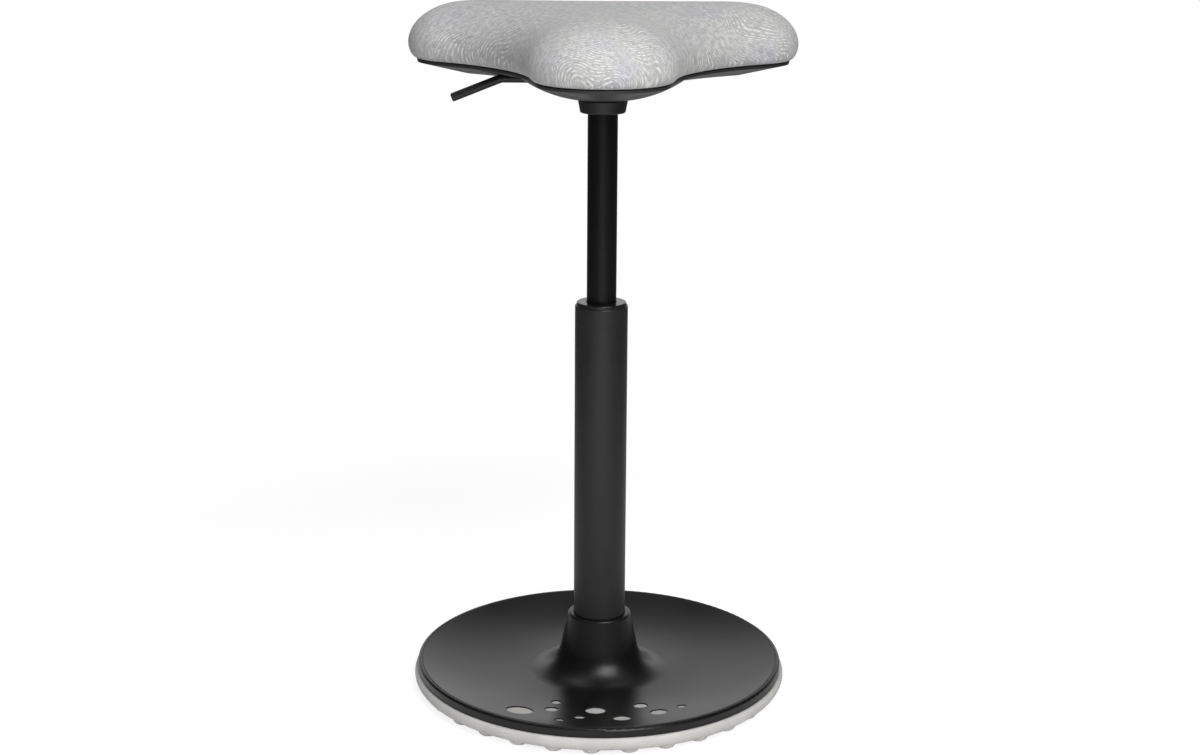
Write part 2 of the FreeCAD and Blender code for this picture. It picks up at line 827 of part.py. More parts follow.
def release_button():
    """Button and valve pin that the lever presses."""
    body = new_piece("release_button", "seam_height")
    head_low = f"({BUTTON_TOP} - button_head_height)"
    turned(body, "Button", [
        ("0", f"({head_low} - button_length)"),
        ("button_radius", f"({head_low} - button_length)"),
        ("button_radius", head_low),
        ("button_head", head_low),
        ("button_head", BUTTON_TOP),
        ("0", BUTTON_TOP),
    ])
    dressed(body, "HeadRound", "Fillet", "button_round", rim_at("button_head", BUTTON_TOP))


# Seat mechanism and its lever

def bolt_circles(sketch, radius):
    """Draw a circle at each of the mechanism's four bolts."""
    for side in ("bolt_half_span", "(0 - bolt_half_span)"):
        for end in ("bolt_half_gap", "(0 - bolt_half_gap)"):
            circle(sketch, side, end, radius)


def seat_mechanism():
    """Cast housing: mounting plate, hollow box for the lever and the tapered collar."""
    body = new_piece("seat_mechanism", "seam_height")
    box = new_sketch(body, "BoxOutline", offset="(0 - housing_drop)")
    rectangle(box, "(0 - housing_back)", "(0 - housing_half_width)", "housing_front", "housing_half_width")
    raised(body, "Box", box, f"(housing_drop + {MOUNT_LOW})")
    plate = new_sketch(body, "PlateOutline", offset=MOUNT_LOW)
    rectangle(plate, "(0 - mount_half_length)", "(0 - mount_half_width)", "mount_half_length",
              "mount_half_width")
    raised(body, "Plate", plate, "mount_thickness")
    corner_reach = math.hypot(value("mount_half_length"), value("mount_half_width"))

    def plate_corner(edge):
        return all(abs(math.hypot(end.X, end.Y) - corner_reach) < 0.01 for end in edge.Vertexes) and (
            abs(edge.BoundBox.ZLength - value("mount_thickness")) < 0.01)
    dressed(body, "Corners", "Fillet", "mount_corner", plate_corner)
    floor = "(housing_floor - housing_drop)"
    cavity = new_sketch(body, "CavityOutline", offset=floor)
    inner_width = "(housing_half_width - housing_wall)"
    rectangle(cavity, "(0 - housing_back)", f"(0 - {inner_width})", "(housing_front - housing_wall)",
              inner_width)
    sunk(body, "Cavity", cavity, f"({MOUNT_LOW} - {floor})")
    collar_top = "(collar_height - collar_drop)"
    turned(body, "Collar", [
        ("0", "(0 - collar_drop)"),
        ("collar_low_radius", "(0 - collar_drop)"),
        ("collar_high_radius", collar_top),
        ("boss_radius", collar_top),
        ("boss_radius", CYLINDER_TOP),
        ("0", CYLINDER_TOP),
    ])
    dressed(body, "CollarRound", "Fillet", "collar_round", rim_at("collar_low_radius", "(0 - collar_drop)"))
    turned(body, "Taper", [
        ("0", "(0 - collar_drop)"),
        ("cylinder_radius", "(0 - collar_drop)"),
        (cylinder_outer(CYLINDER_TOP), CYLINDER_TOP),
        ("0", CYLINDER_TOP),
    ], cut=True)
    pivot = new_sketch(body, "PivotOutline", "XZ_Plane")
    circle(pivot, "(0 - pivot_reach)", "(0 - pivot_drop)", "pivot_radius")
    sunk(body, "PivotHole", pivot, "(3 * housing_half_width)", middle=True)
    holes = new_sketch(body, "BoltOutline", offset=MOUNT_LOW)
    bolt_circles(holes, "(bolt_radius + bolt_clearance)")
    sunk(body, "BoltHoles", holes, "mount_thickness")


def mechanism_bolts():
    """Bolts from under the mounting plate into the board's inserts."""
    body = new_piece("mechanism_bolts", "seam_height")
    heads = new_sketch(body, "HeadOutline", offset=f"({MOUNT_LOW} - bolt_head_height)")
    bolt_circles(heads, "bolt_head")
    raised(body, "Heads", heads, "bolt_head_height")
    shanks = new_sketch(body, "ShankOutline", offset=MOUNT_LOW)
    bolt_circles(shanks, "bolt_radius")
    raised(body, "Shanks", shanks, f"({BOARD_TOP} - {MOUNT_LOW})")


def board_inserts():
    """Threaded inserts in the seat board."""
    body = new_piece("board_inserts", "seam_height")
    outer = new_sketch(body, "OuterOutline", offset=BOARD_LOW)
    bolt_circles(outer, "insert_radius")
    raised(body, "Inserts", outer, "board_thickness")
    bores = new_sketch(body, "BoreOutline", offset=BOARD_LOW)
    bolt_circles(bores, "bolt_radius")
    sunk(body, "Bores", bores, "board_thickness")


def lever_pivot_pin():
    body = new_piece("lever_pivot_pin", "seam_height")
    section = new_sketch(body, "Outline", "XZ_Plane")
    circle(section, "(0 - pivot_reach)", "(0 - pivot_drop)", "pivot_radius")
    raised(body, "Pin", section, "(2 * housing_half_width)", middle=True)


def lever_rocker():
    """Channel that clamps the lever rod, turns on the pivot pin and presses the button."""
    body = new_piece("lever_rocker", "seam_height")
    width = "(2 * (cheek_gap + cheek_thickness))"
    low = f"({TONGUE_LOW} - channel_depth)"
    side = new_sketch(body, "SideOutline", "XZ_Plane")
    top = f"({TONGUE_LOW} + tongue_thickness)"
    outline(side, [
        ("(0 - channel_far)", low),
        ("(0 - channel_near)", low),
        ("(0 - channel_near)", TONGUE_LOW),
        ("tongue_reach", TONGUE_LOW),
        ("tongue_reach", top),
        ("(0 - channel_far)", top),
    ])
    raised(body, "Block", side, width, middle=True)
    gap = new_sketch(body, "GapOutline", "XZ_Plane")
    rectangle(gap, "(0 - channel_far)", low, "(0 - channel_near)", TONGUE_LOW)
    sunk(body, "Gap", gap, "(2 * cheek_gap)", middle=True)
    pivot = new_sketch(body, "PivotOutline", "XZ_Plane")
    circle(pivot, "(0 - pivot_reach)", "(0 - pivot_drop)", "(pivot_radius + pivot_fit)")
    sunk(body, "PivotHole", pivot, width, middle=True)


def lever_rod():
    """Round rod, level in the shell and bent down where it leaves it."""
    body = new_piece("lever_rod", "seam_height")
    level = f"({TONGUE_LOW} - lever_radius)"
    shift = "(lever_bend_radius * tan(lever_angle / 2))"
    path = new_sketch(body, "Path", "XZ_Plane")
    run = "(lever_tip_reach - lever_bend_reach)"
    outline(path, [
        ("(0 - lever_inner_end)", level),
        (f"({shift} - lever_bend_reach)", level, "lever_bend_radius", 1),
        (f"(0 - lever_bend_reach - {shift} * cos(lever_angle))", f"({level} - {shift} * sin(lever_angle))"),
        ("(0 - lever_tip_reach)", f"({level} - {run} * tan(lever_angle))"),
    ], closed=False)
    section = new_sketch(body, "Section", "YZ_Plane", offset="(0 - lever_inner_end)")
    circle(section, "0", level, "lever_radius")
    document.recompute()
    rod = body.newObject("PartDesign::AdditivePipe", "lever_rod_Sweep")
    rod.Profile = section
    rod.Spine = (path, [f"Edge{index + 1}" for index in range(len(path.Shape.Edges))])
    body.Tip = rod
    tip = Vector(value("(0 - lever_tip_reach)"), 0, value(f"({level} - {run} * tan(lever_angle))"))

    def at_tip(edge):
        return isinstance(edge.Curve, Part.Circle) and edge.Curve.Center.sub(tip).Length < 0.1
    dressed(body, "TipRound", "Fillet", "lever_round", at_tip)


# Seat

def seat_board():
    """Plywood board under the foam."""
    body = new_piece("seat_board", "seam_height")
    raised(body, "Board", trefoil(body, "Outline", BOARD_LOW, "board_inset"), "board_thickness")
    holes = new_sketch(body, "InsertOutline", offset=BOARD_LOW)
    bolt_circles(holes, "insert_radius")
    sunk(body, "InsertHoles", holes, "board_thickness")
    pilot = spun(body, "Pilot", "shell_screw_reach",
                 ring_corners("0", "shell_screw_radius", BOARD_LOW, shell_screw_top()), turn="lobe_phase",
                 cut=True)
    ring_of(body, "Pilots", pilot, "lobe_count")


def shell_head_level():
    return f"(shell_screw_head_height - {SHELL_FLAT})"


def shell_screw_top():
    return f"({shell_head_level()} + shell_screw_length)"


def seat_shell():
    """Moulded shell under the seat: thin edge, sloped lobes and a bowl round the collar."""
    body = new_piece("seat_shell", "seam_height")
    lofted(body, "Lobes", [
        trefoil(body, "Seam", "0", "0"),
        trefoil(body, "Edge", "(0 - shell_edge)", "shell_edge_draft"),
        trefoil(body, "Flat", f"(0 - {SHELL_FLAT})", "shell_slope_inset"),
    ])
    bowl = [
        ("0", "(0 - shell_depth)"),
        ("shell_mouth", "(0 - shell_depth)", "shell_bowl_round", 1),
        ("shell_bowl_radius", "(0 - shell_bowl_depth)"),
        ("0", "(0 - shell_bowl_depth)"),
    ]
    turned(body, "Bowl", bowl)
    lofted(body, "Hollow", [
        trefoil(body, "HollowSeam", "0", "shell_wall"),
        trefoil(body, "HollowEdge", "(0 - shell_edge / 2)", "(shell_edge_draft + shell_wall)"),
        trefoil(body, "HollowFlat", f"(shell_wall - {SHELL_FLAT})", "shell_slope_inset"),
    ], cut=True)
    turned(body, "BowlHollow", [
        ("0", "(shell_wall - shell_depth)"),
        ("shell_mouth", "(shell_wall - shell_depth)", "(shell_bowl_round - shell_wall)", 1),
        ("(shell_bowl_radius - shell_wall)", "(0 - shell_bowl_depth + shell_wall / 2)"),
        ("0", "(0 - shell_bowl_depth + shell_wall / 2)"),
    ], cut=True)
    mouth = new_sketch(body, "MouthOutline", offset="(0 - shell_depth)")
    circle(mouth, "0", "0", "(collar_high_radius + shell_collar_gap)")
    sunk(body, "Mouth", mouth, "(2 * shell_wall)")
    slot = new_sketch(body, "SlotOutline", offset="(0 - shell_depth)")
    rectangle(slot, "(0 - slot_far)", "(0 - slot_half_width)", "(0 - slot_near)", "slot_half_width")
    sunk(body, "Slot", slot, "shell_depth")
    boss = spun(body, "Boss", "shell_screw_reach",
                ring_corners("0", "shell_boss_radius", f"(shell_wall / 2 - {SHELL_FLAT})", BOARD_LOW),
                turn="lobe_phase")
    ring_of(body, "Bosses", boss, "lobe_count")
    recess_top = shell_head_level()
    recess = "(shell_screw_head + shell_recess_gap)"
    bore = spun(body, "Bore", "shell_screw_reach", [
        ("0", f"(0 - {SHELL_FLAT})"),
        (recess, f"(0 - {SHELL_FLAT})"),
        (recess, recess_top),
        ("shell_screw_radius", recess_top),
        ("shell_screw_radius", BOARD_LOW),
        ("0", BOARD_LOW),
    ], turn="lobe_phase", cut=True)
    ring_of(body, "Bores", bore, "lobe_count")


def shell_screws():
    """Screws that hold the shell to the board, one in each lobe."""
    body = new_piece("shell_screws", "seam_height")
    head_top = shell_head_level()
    head_low = f"({head_top} - shell_screw_head_height)"
    screw = spun(body, "Screw", "shell_screw_reach", [
        ("0", head_low),
        ("shell_screw_head", head_low),
        ("shell_screw_head", head_top),
        ("shell_screw_radius", head_top),
        ("shell_screw_radius", shell_screw_top()),
        ("0", shell_screw_top()),
    ], turn="lobe_phase")
    ring_of(body, "Screws", screw, "lobe_count")


def cushion_outlines(body, name, skin, side_angles, roll_angles):
    """Sketch the cushion's outlines at a depth under its skin, from the seam up to the crown."""
    levels = []
    for angle in side_angles:
        height = f"({skin} + (cover_bulge_height - {skin}) * (1 - cos({angle})))"
        inset = f"(cover_tuck + {skin} - (cover_tuck + cover_bulge) * sin({angle}))"
        levels.append((height, inset, "1"))
    for angle in roll_angles:
        height = f"(cover_bulge_height + (cover_roll_height - {skin}) * sin({angle}))"
        inset = f"(cover_roll - cover_bulge - (cover_roll - {skin}) * cos({angle}))"
        levels.append((height, inset, "1"))
    height, inset, _ = levels[-1]
    levels.append((f"({height} + cover_crown)", inset, "cover_crown_scale"))
    return [trefoil(body, f"{name}{number}", *level) for number, level in enumerate(levels)]


def seat_cover():
    """Fabric cover, drawn in to the seam and hemmed under the board."""
    body = new_piece("seat_cover", "seam_height")
    lofted(body, "Skin", cushion_outlines(body, "Skin", "0", (0, 45, 90), (22, 44, 66, 82)))
    lofted(body, "Inside", cushion_outlines(body, "Inside", "cover_thickness", (0, 90), (30, 60, 82)),
           cut=True)
    sunk(body, "Opening", trefoil(body, "Hem", "0", "cover_hem"), "cover_thickness")


def seat_foam():
    """Foam inside the cover, moulded over the board."""
    body = new_piece("seat_foam", "seam_height")
    lofted(body, "Block", cushion_outlines(body, "Block", "(cover_thickness + foam_gap)", (0, 90),
                                           (30, 60, 82)))
    board = trefoil(body, "Board", BOARD_LOW, "(board_inset - foam_gap)")
    sunk(body, "BoardSeat", board, "board_thickness")


for make in (foot_sole, ballast_plate, foot_screws, foot_dish, column_hub, column_tube, guide_bush,
             bearing_race_lower, thrust_bearing, bearing_race_upper, bump_stop, piston_rod, rod_clip,
             piston, piston_seal, gas_cylinder, cylinder_gland, valve_block, release_button,
             seat_mechanism, mechanism_bolts, board_inserts, lever_pivot_pin, lever_rocker, lever_rod,
             seat_board, seat_shell, shell_screws, seat_foam, seat_cover):
    make()
document.recompute()

# Every feature must have been made, and every piece must be a sound solid

for item in document.Objects:
    if {"Invalid", "Error"} & set(item.State):
        raise RuntimeError(f"{item.Name} failed: {item.State}")
for piece in pieces:
    if piece.Shape.isNull() or not piece.Shape.isValid() or not piece.Shape.Solids:
        raise RuntimeError(f"{piece.Label} has no sound solid")
os.makedirs("parts", exist_ok=True)
for piece in pieces:
    piece.Shape.exportStep(os.path.join("parts", piece.Label + ".step"))
    print(f"{piece.Label}: {len(piece.Shape.Solids)} solids, {piece.Shape.Volume / 1000:.2f} cm3")
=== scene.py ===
import json
import math

import bmesh
import bpy
import numpy as np
from mathutils import Matrix, Vector
from mathutils.geometry import delaunay_2d_cdt


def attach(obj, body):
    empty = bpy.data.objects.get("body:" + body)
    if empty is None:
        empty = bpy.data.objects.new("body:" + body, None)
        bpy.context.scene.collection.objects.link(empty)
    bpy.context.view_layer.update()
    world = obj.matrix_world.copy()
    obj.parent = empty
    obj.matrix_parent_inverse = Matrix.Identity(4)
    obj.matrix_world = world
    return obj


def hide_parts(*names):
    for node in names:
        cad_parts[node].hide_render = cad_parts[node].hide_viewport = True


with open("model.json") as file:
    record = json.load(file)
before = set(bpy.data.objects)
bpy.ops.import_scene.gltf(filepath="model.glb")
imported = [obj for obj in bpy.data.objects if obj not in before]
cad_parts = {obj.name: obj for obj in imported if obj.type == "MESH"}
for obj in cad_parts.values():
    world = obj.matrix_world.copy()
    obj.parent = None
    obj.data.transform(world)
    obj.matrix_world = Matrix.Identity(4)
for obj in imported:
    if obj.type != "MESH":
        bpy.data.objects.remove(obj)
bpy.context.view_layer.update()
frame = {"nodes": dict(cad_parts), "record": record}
nodes = frame["nodes"]
scene = bpy.context.scene
scene.view_settings.view_transform = "Standard"

# Metres, +Z up. The seam is where the cushion meets the shell.
MM = 0.001
SEAM = 0.603


# Camera, at the photograph's place

FOCAL_LENGTH, SENSOR_WIDTH = 60, 36
CAMERA_PLACE = (-0.0009, -1.8425, 0.7924)
CAMERA_PITCH, CAMERA_ROLL = 75.293, 0.41

camera_data = bpy.data.cameras.new("camera")
camera_data.lens = FOCAL_LENGTH
camera_data.sensor_width = SENSOR_WIDTH
camera_data.clip_start = 50 * MM
camera = bpy.data.objects.new("camera", camera_data)
scene.collection.objects.link(camera)
pitch = Matrix.Rotation(math.radians(CAMERA_PITCH), 4, "X")
roll = Matrix.Rotation(math.radians(CAMERA_ROLL), 4, "Z")
camera.matrix_world = Matrix.Translation(CAMERA_PLACE) @ pitch @ roll
scene.camera = camera


# Shader graphs

class Graph:
    """A material's or world's node tree, with short calls to add and join nodes."""

    def __init__(self, owner):
        owner.use_nodes = True
        self.tree = owner.node_tree
        self.tree.nodes.clear()

    def add(self, kind, inputs=None, **settings):
        node = self.tree.nodes.new("ShaderNode" + kind)
        for name, value in settings.items():
            setattr(node, name, value)
        for key, value in (inputs or {}).items():
            socket = node.inputs[key]
            if isinstance(value, bpy.types.NodeSocket):
                self.tree.links.new(value, socket)
            else:
                socket.default_value = value
        return node

    def math(self, operation, first, second=0.0):
        return self.add("Math", {0: first, 1: second}, operation=operation).outputs[0]

    def vector(self, operation, first, second=(0, 0, 0)):
        return self.add("VectorMath", {0: first, 1: second}, operation=operation).outputs[0]

    def ramp(self, value, low, high, out_low=0.0, out_high=1.0):
        """Map low to high smoothly onto the range from out_low to out_high."""
        return self.add("MapRange", {0: value, 1: low, 2: high, 3: out_low, 4: out_high},
                        interpolation_type="SMOOTHSTEP").outputs[0]

    def blend(self, first, second, share):
        """Add a share of the first value and the rest of the second."""
        return self.math("ADD", self.math("MULTIPLY", first, share), self.math("MULTIPLY", second, 1 - share))

    def noise(self, place, scale, detail=3.0, roughness=0.55, stretch=None, distortion=0.0):
        if stretch:
            place = self.vector("MULTIPLY", place, stretch)
        node = self.add("TexNoise", {"Vector": place, "Scale": scale, "Detail": detail,
                                     "Roughness": roughness, "Distortion": distortion})
        return node.outputs["Fac"]

    def mix(self, factor, first, second, blend="MIX"):
        node = self.add("Mix", data_type="RGBA", blend_type=blend)
        sockets = {"Factor_Float": factor, "A_Color": first, "B_Color": second}
        for socket in node.inputs:
            value = sockets.get(socket.identifier)
            if value is None:
                continue
            if isinstance(value, bpy.types.NodeSocket):
                self.tree.links.new(value, socket)
            else:
                socket.default_value = value
        return next(out for out in node.outputs if out.identifier == "Result_Color")

    def bump(self, height, depth, strength=1.0, normal=None):
        inputs = {"Height": height, "Distance": depth, "Strength": strength}
        if normal:
            inputs["Normal"] = normal
        return self.add("Bump", inputs).outputs[0]

    def finish(self, surface):
        self.tree.links.new(surface, self.add("OutputMaterial").inputs["Surface"])


def grey(level, tint=(1.0, 1.0, 1.0)):
    return tuple(level * part for part in tint) + (1.0,)


def plain_finish(name, dark, light, rough, grain=900.0, depth=0.02, metallic=0.0, edge=0.4, blotch=14.0,
                 streak=None, specular=0.5, wear=None):
    """Moulded, painted, ground or rubber surface: uneven colour and gloss, fine grain, soft edges.

    Grain and blotch are in patches per metre, and depth and edge in millimetres.
    """
    material = bpy.data.materials.new(name)
    graph = Graph(material)
    place = graph.add("TexCoord").outputs["Object"]
    soft = graph.noise(place, blotch, 4.0, 0.6)
    fine = graph.noise(place, grain, 2.0, 0.6, stretch=streak)
    colour = graph.mix(graph.ramp(graph.blend(soft, fine, 0.6), 0.35, 0.65), dark, light)
    rounded = graph.add("Bevel", {"Radius": edge * MM}, samples=4).outputs[0]
    if wear is not None:
        sharp = graph.add("VectorMath", {0: rounded, 1: graph.add("NewGeometry").outputs["Normal"]},
                          operation="DOT_PRODUCT").outputs["Value"]
        rubbed = graph.math("MULTIPLY", graph.ramp(sharp, 0.985, 0.9), graph.ramp(soft, 0.45, 0.6))
        colour = graph.mix(rubbed, colour, wear)
    gloss = graph.ramp(graph.blend(soft, fine, 0.5), 0.3, 0.7, *rough)
    normal = graph.bump(fine, depth * MM, 1.0, rounded)
    shader = graph.add("BsdfPrincipled", {
        "Base Color": colour, "Roughness": gloss, "Metallic": metallic, "Normal": normal,
        "Specular IOR Level": specular})
    graph.finish(shader.outputs[0])
    return material


# Fabric: pale threads per metre of cloth, and how many threads the swirls bend them by
THREADS_PER_METRE = 300.0
SWIRLS_PER_METRE, SWIRL_THREADS = 10.0, 34.0
SWAY, SWAY_MORE = 0.016, 0.0035
YARN_STRETCH, CROSS_STRETCH = (80.0, 1050.0, 60.0), (900.0, 120.0, 60.0)


def fabric_finish():
    """Light grey melange with fine, pale, curved threads that follow the cloth."""
    material = bpy.data.materials.new("seat_fabric_weave")
    graph = Graph(material)
    cloth = graph.add("Attribute", attribute_name="cloth").outputs["Vector"]
    sway = graph.noise(cloth, 28.0, 2.0, 0.5)
    sway_more = graph.noise(graph.vector("ADD", cloth, (3.1, 1.7, 0.4)), 75.0, 1.0, 0.5)
    offset = graph.math("ADD", graph.math("MULTIPLY", sway, SWAY),
                        graph.math("MULTIPLY", sway_more, SWAY_MORE))
    shift = graph.add("CombineXYZ", {0: 0.0, 1: offset, 2: 0.0}).outputs[0]
    flow = graph.vector("ADD", cloth, shift)
    threads = graph.noise(flow, 1.0, 1.0, 0.5, stretch=YARN_STRETCH)
    cross = graph.noise(flow, 1.0, 2.0, 0.6, stretch=CROSS_STRETCH)
    melange = graph.noise(cloth, 620.0, 3.0, 0.75)
    patch = graph.noise(cloth, 16.0, 3.0, 0.55)
    groups = graph.noise(cloth, 42.0, 2.0, 0.5)
    swirl = graph.noise(cloth, SWIRLS_PER_METRE, 1.0, 0.45)
    along = graph.add("SeparateXYZ", {0: cloth}).outputs["Y"]
    turns = graph.math("ADD", graph.math("MULTIPLY", along, THREADS_PER_METRE),
                       graph.math("MULTIPLY", swirl, SWIRL_THREADS))
    line = graph.math("SINE", graph.math("MULTIPLY", turns, math.tau))
    broken = graph.ramp(graph.noise(cloth, 190.0, 2.0, 0.6), 0.40, 0.60)
    stroke = graph.math("MULTIPLY", graph.math("MULTIPLY", graph.ramp(line, -0.1, 0.95), broken),
                        graph.ramp(groups, 0.25, 0.55, 0.45, 1.0))
    under = graph.ramp(cross, 0.38, 0.66)
    base = graph.mix(graph.ramp(threads, 0.36, 0.64), grey(0.33, (1.0, 1.0, 1.02)), grey(0.50))
    base = graph.mix(graph.math("MULTIPLY", graph.ramp(melange, 0.34, 0.66), 0.3), base, grey(0.50))
    base = graph.mix(graph.math("MULTIPLY", under, 0.22), base, grey(0.58))
    colour = graph.mix(graph.math("MULTIPLY", stroke, 0.8), base, grey(0.82, (1.0, 1.0, 0.99)))
    cool = graph.mix(graph.ramp(patch, 0.50, 0.66), grey(1.0), (0.95, 0.955, 1.01, 1.0))
    colour = graph.mix(1.0, colour, cool, "MULTIPLY")
    normal = graph.bump(graph.blend(stroke, threads, 0.5), 0.35 * MM, 0.8)
    shader = graph.add("BsdfPrincipled", {
        "Base Color": colour, "Roughness": 0.92, "Normal": normal, "Specular IOR Level": 0.15,
        "Sheen Weight": 0.12, "Sheen Roughness": 0.4})
    graph.finish(shader.outputs[0])
    return material


def wood_finish():
    """Birch plywood: pale grain on the faces and thin plies at the edge."""
    material = bpy.data.materials.new("plywood_birch")
    graph = Graph(material)
    place = graph.add("TexCoord").outputs["Object"]
    grain = graph.noise(place, 1.0, 4.0, 0.6, stretch=(14.0, 260.0, 260.0), distortion=0.6)
    plies = graph.add("TexWave", {"Vector": place, "Scale": 110.0, "Distortion": 0.4},
                      bands_direction="Z").outputs["Fac"]
    colour = graph.mix(grain, (0.62, 0.44, 0.27, 1.0), (0.78, 0.62, 0.43, 1.0))
    colour = graph.mix(graph.math("MULTIPLY", plies, 0.25), colour, (0.42, 0.27, 0.15, 1.0))
    shader = graph.add("BsdfPrincipled", {"Base Color": colour, "Roughness": 0.6,
                                          "Normal": graph.bump(grain, 0.1 * MM)})
    graph.finish(shader.outputs[0])
    return material


BLACK_LOW = grey(0.006)
BLACK_HIGH = grey(0.011)

finishes = {
    "sole_rubber": plain_finish("sole_rubber_pale", grey(0.50, (1.0, 0.98, 0.95)),
                                grey(0.60, (1.0, 0.98, 0.955)), (0.62, 0.8), grain=1500, depth=0.05, edge=0.8,
                                blotch=30, specular=0.35, wear=grey(0.42, (1.0, 0.97, 0.93))),
    "plate_steel": plain_finish("plate_steel_black", grey(0.010), grey(0.020), (0.4, 0.6), edge=0.3),
    "zinc_steel": plain_finish("zinc_plated", grey(0.50, (1.0, 1.0, 0.96)), grey(0.66), (0.25, 0.42),
                               grain=700, metallic=1.0, edge=0.2),
    "foot_plastic": plain_finish("foot_plastic_black", grey(0.0025), grey(0.0045), (0.27, 0.38), grain=2600,
                                 depth=0.010, edge=0.7, blotch=9, wear=grey(0.03)),
    "column_paint": plain_finish("column_powder_coat", grey(0.009), grey(0.014), (0.36, 0.46), grain=2300,
                                 depth=0.03, edge=0.4, blotch=22),
    "bush_plastic": plain_finish("bush_plastic_black", BLACK_LOW, BLACK_HIGH, (0.18, 0.3), grain=1800,
                                 depth=0.01, edge=0.5),
    "bright_steel": plain_finish("ground_steel", grey(0.48), grey(0.62), (0.18, 0.34), grain=900,
                                 metallic=1.0, streak=(1, 1, 0.05), edge=0.2),
    "stop_rubber": plain_finish("stop_rubber_black", grey(0.012), grey(0.02), (0.6, 0.8), grain=1200,
                                depth=0.05),
    "brass_parts": plain_finish("turned_brass", (0.55, 0.38, 0.13, 1), (0.72, 0.52, 0.22, 1), (0.22, 0.36),
                                grain=900, metallic=1.0, streak=(1, 1, 8)),
    "cylinder_paint": plain_finish("cylinder_black", grey(0.0025), grey(0.0045), (0.30, 0.42), grain=2100,
                                   depth=0.015, edge=0.3, blotch=20, specular=0.28),
    "mechanism_paint": plain_finish("mechanism_powder_coat", grey(0.008), grey(0.013), (0.34, 0.46),
                                    grain=1900, depth=0.04, edge=0.6),
    "lever_paint": plain_finish("lever_powder_coat", grey(0.007), grey(0.012), (0.30, 0.42), grain=2100,
                                depth=0.02, edge=0.3),
    "plywood": wood_finish(),
    "shell_plastic": plain_finish("shell_plastic_black", grey(0.016), grey(0.026), (0.38, 0.52), grain=2200,
                                  depth=0.035, edge=0.7, blotch=12),
    "foam": plain_finish("foam_cream", (0.60, 0.56, 0.44, 1), (0.72, 0.68, 0.56, 1), (0.85, 0.95),
                         grain=900, depth=0.3),
    "seat_fabric": fabric_finish(),
}
slot_of = {row["node"]: row["material_slot"] for row in frame["record"]["subparts"]}
for name, piece in nodes.items():
    for place in piece.material_slots:
        place.material = finishes[slot_of[name]]


# Seat outline: three tip arcs joined by three bay arcs, as in the solids

TIP_REACH, TIP_RADIUS, BAY_REACH = 0.195, 0.058, 0.1005
LOBE = TIP_REACH - TIP_RADIUS
SETBACK = TIP_RADIUS - BAY_REACH
BAY_CENTRE = (LOBE ** 2 - SETBACK ** 2) / (LOBE + 2 * SETBACK)
BAY_RADIUS = BAY_CENTRE - BAY_REACH
TIPS = [math.radians(-90 + 120 * lobe) for lobe in range(3)]
BAYS = [math.radians(-30 + 120 * lobe) for lobe in range(3)]


def outline_samples(tip_count, bay_count):
    """Return centre, start radius, inset's sign and direction for each point round the outline."""
    samples = []
    for lobe in range(3):
        tip = Vector((math.cos(TIPS[lobe]), math.sin(TIPS[lobe]))) * LOBE
        last = Vector((math.cos(BAYS[lobe - 1]), math.sin(BAYS[lobe - 1]))) * BAY_CENTRE
        bay = Vector((math.cos(BAYS[lobe]), math.sin(BAYS[lobe]))) * BAY_CENTRE
        following = Vector((math.cos(TIPS[(lobe + 1) % 3]), math.sin(TIPS[(lobe + 1) % 3]))) * LOBE
        start = math.atan2(*(last - tip).yx)
        sweep = (math.atan2(*(bay - tip).yx) - start) % math.tau
        for step in range(tip_count):
            angle = start + sweep * step / tip_count
            samples.append((tip, TIP_RADIUS, -1, Vector((math.cos(angle), math.sin(angle)))))
        start = math.atan2(*(tip - bay).yx)
        sweep = (start - math.atan2(*(following - bay).yx)) % math.tau
        for step in range(bay_count):
            angle = start - sweep * step / bay_count
            samples.append((bay, BAY_RADIUS, 1, Vector((math.cos(angle), math.sin(angle)))))
    return samples


def outline_ring(samples, inset):
    """Return the points of the outline that lies inside the seam's by an inset."""
    return [centre + direction * (radius + sign * inset) for centre, radius, sign, direction in samples]


def outline_depth(points):
    """Return each point's inset from the outline and the outward direction there."""
    tips = np.array([[math.cos(a), math.sin(a)] for a in TIPS]) * LOBE
    bays = np.array([[math.cos(a), math.sin(a)] for a in BAYS]) * BAY_CENTRE
    to_tips = points[:, None, :] - tips[None]
    tip_far = np.linalg.norm(to_tips, axis=2)
    to_bays = points[:, None, :] - bays[None]
    bay_far = np.linalg.norm(to_bays, axis=2)
    nearest_tip = tip_far.argmin(1)
    nearest_bay = bay_far.argmin(1)
    rows = np.arange(len(points))
    outward = to_tips[rows, nearest_tip] / np.maximum(tip_far[rows, nearest_tip], 1e-6)[:, None]
    tip_angle = np.arctan2(outward[:, 1], outward[:, 0])
    lobe_angle = np.array(TIPS)[nearest_tip]
    away = np.abs((tip_angle - lobe_angle + math.pi) % math.tau - math.pi)
    edge = Vector((math.cos(BAYS[0]), math.sin(BAYS[0]))) * BAY_CENTRE - Vector((0, -LOBE))
    half = abs((math.atan2(edge.y, edge.x) + math.pi / 2 + math.pi) % math.tau - math.pi)
    in_tip = away < half
    bay_out = to_bays[rows, nearest_bay] / bay_far[rows, nearest_bay][:, None] * -1
    depth = np.where(in_tip, TIP_RADIUS - tip_far[rows, nearest_tip], bay_far[rows, nearest_bay] - BAY_RADIUS)
    return depth, np.where(in_tip[:, None], outward, bay_out)


# Cushion: one closed form, puffed up by a short cloth simulation

